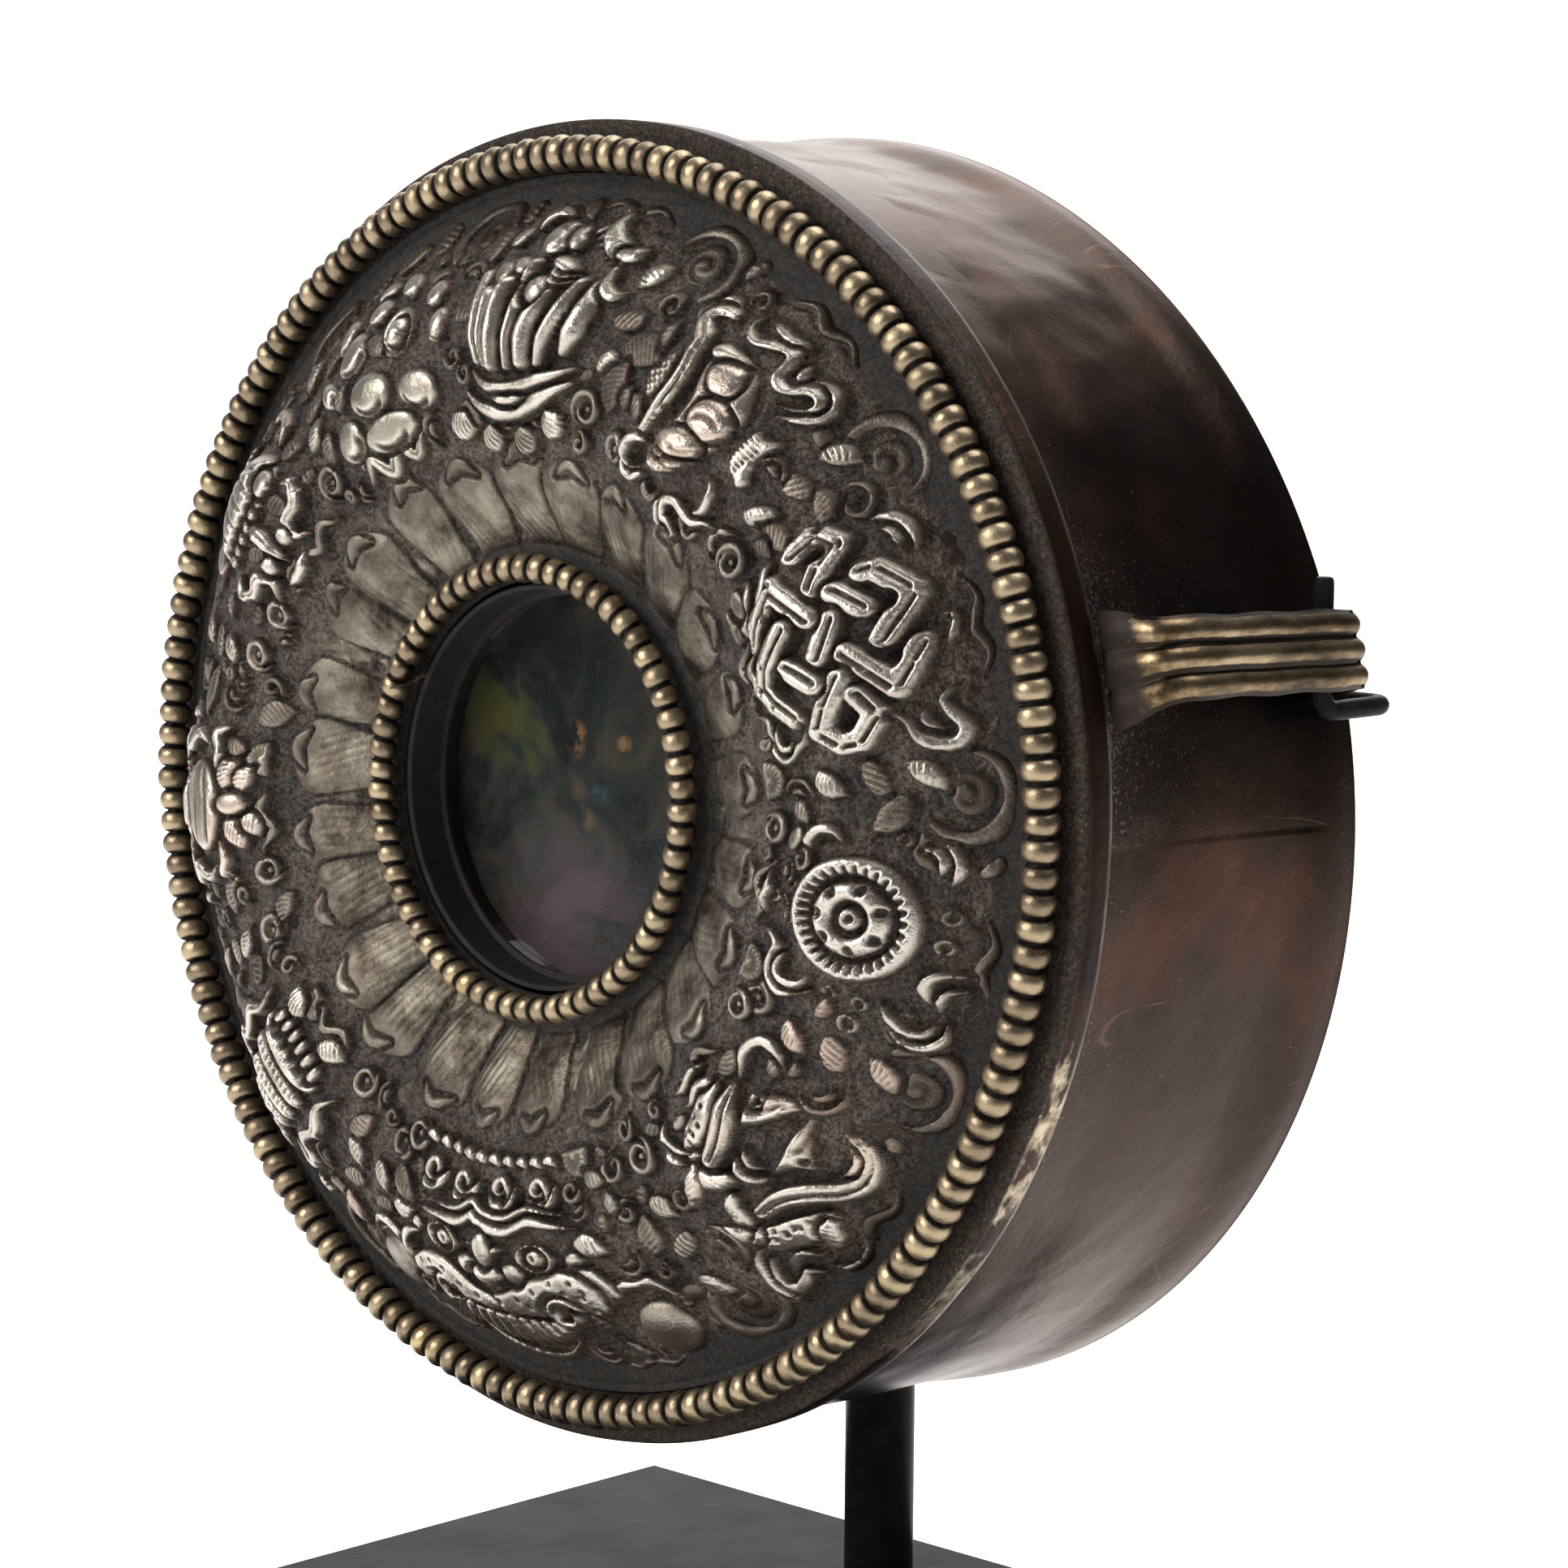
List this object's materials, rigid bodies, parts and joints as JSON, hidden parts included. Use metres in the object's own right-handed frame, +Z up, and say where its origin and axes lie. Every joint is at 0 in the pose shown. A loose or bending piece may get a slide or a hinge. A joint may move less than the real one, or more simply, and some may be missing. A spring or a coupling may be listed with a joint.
{
  "type": "amulet box",
  "caption": "Round drum-shaped amulet box with an embossed domed face, beaded borders and a glazed window, lifted onto two wire hooks of a museum stand.",
  "frame": {"origin": "centre of the underside of the felt pad, which is the bottom centre of the overall box", "axes": "+Z up, +X to the right of someone facing the window, -Y out of the front"},
  "size_m": [0.1774, 0.1524, 0.2101],
  "materials": {
    "black_paint": "satin black paint",
    "felt": "pressed felt",
    "screw_steel": "zinc plated",
    "dark_copper": "hammered copper with a dark red-brown patina",
    "tarnished_silver": "embossed silver sheet, worn bright on the relief and dark in its ground",
    "bead_metal": "beaded wire, pale brassy silver with dark gaps",
    "loop_brass": "aged ribbed brass strip",
    "window_glass": "clear, old and slightly dusty",
    "painted_card": "dark painted card",
    "board": "pressed paper board",
    "paper": "rolled handmade paper",
    "thread": "twisted red thread"
  },
  "bodies": {
    "stand": {"base_plate": "black_paint", "felt_pad": "felt", "post": "black_paint", "post_screw": "screw_steel", "hook_wire": "black_paint"},
    "case": {"case_wall": "dark_copper", "case_back": "dark_copper", "strap_loop_left": "loop_brass", "strap_loop_right": "loop_brass", "prayer_roll": "paper", "roll_tie": "thread"},
    "lid": {"front_rim": "dark_copper", "face_plate": "tarnished_silver", "outer_beaded_wire": "bead_metal", "inner_beaded_wire": "bead_metal", "window_collar": "dark_copper", "window_glass": "window_glass", "image_card": "painted_card", "backing_disc": "board", "retaining_ring": "bead_metal"}
  },
  "joints": [
    {"name": "case_lift", "type": "slide", "parent": "stand", "child": "case", "axis": [0, 0, 1], "range_m": [0, 0.035]},
    {"name": "lid_pull", "type": "slide", "parent": "case", "child": "lid", "axis": [0, -0.9996, 0.029], "range_m": [0, 0.03]}
  ]
}
